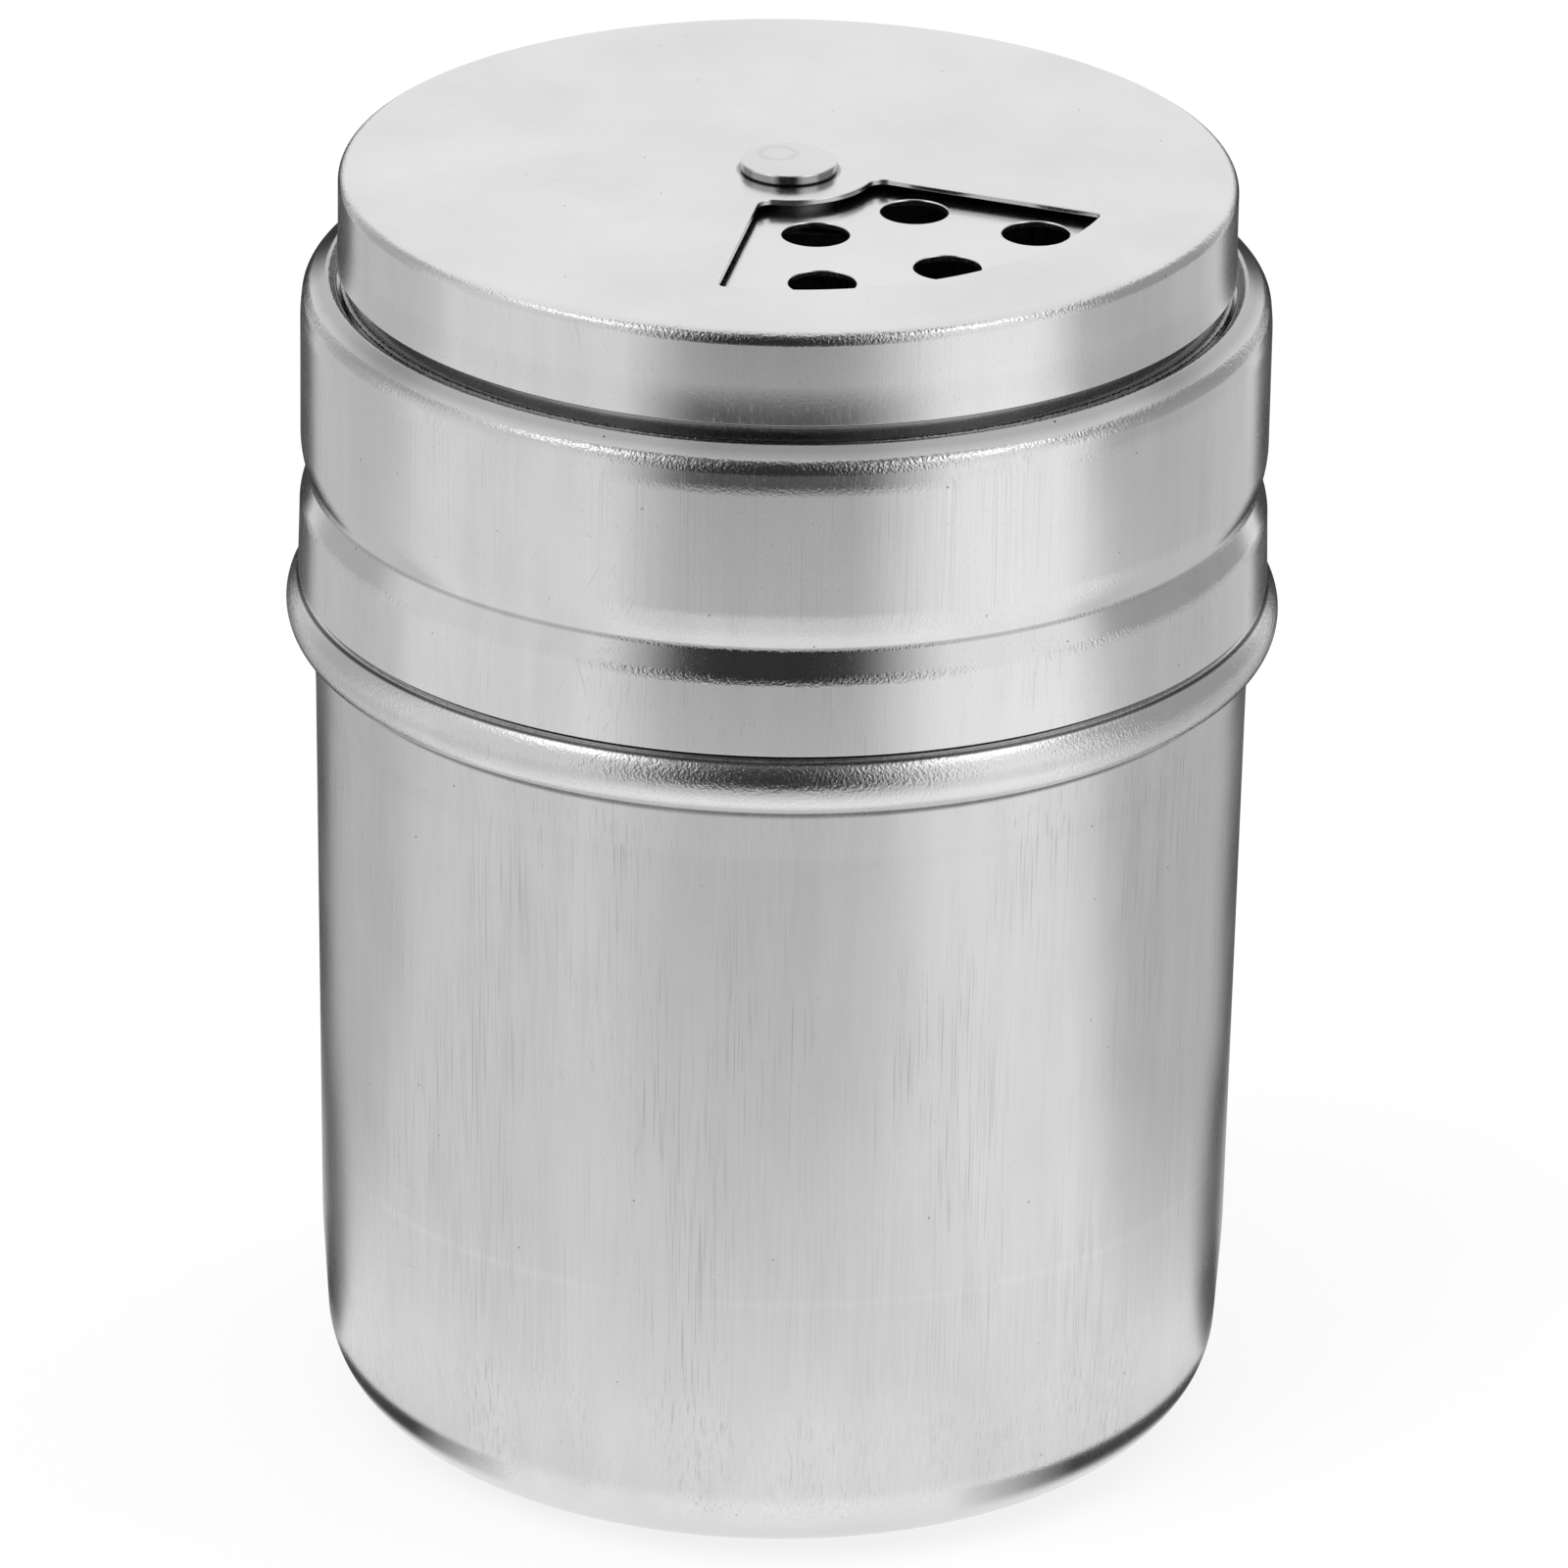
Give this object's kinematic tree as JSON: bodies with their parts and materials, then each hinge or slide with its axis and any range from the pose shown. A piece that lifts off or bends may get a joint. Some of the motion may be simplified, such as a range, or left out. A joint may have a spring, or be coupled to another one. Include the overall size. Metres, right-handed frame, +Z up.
{
  "type": "spice shaker",
  "caption": "Round stainless steel spice shaker: a drawn jar, a push-on lid with a perforated deck, and a turning dial cap whose window picks the holes.",
  "frame": {"origin": "centre of the face that the jar stands on, on the axis that every piece is turned about", "axes": "+Z up along the turning axis; -Y is the pictured front; the cap's window points towards +X and -Y at rest"},
  "size_m": [0.0658, 0.0658, 0.0881],
  "materials": {
    "jar_steel": "drawn stainless steel, fine upright brushing",
    "lid_steel": "drawn stainless steel, fine upright brushing, grainy at the bends",
    "cap_steel": "smooth satin stainless steel",
    "rivet_steel": "polished stainless steel",
    "washer_steel": "plain stainless steel"
  },
  "bodies": {
    "jar": {"jar": "jar_steel"},
    "lid": {"lid_collar": "lid_steel", "pivot_rivet": "rivet_steel", "spacer_washer": "washer_steel", "spring_washer": "washer_steel"},
    "dial": {"dial_cap": "cap_steel"}
  },
  "joints": [
    {"name": "lid_lift", "type": "slide", "parent": "jar", "child": "lid", "axis": [0, 0, 1], "range_m": [0, 0.03]},
    {"name": "dial_turn", "type": "hinge", "parent": "lid", "child": "dial", "pos_m": [0, 0, 0.0872], "axis": [0, 0, 1], "continuous": true}
  ]
}
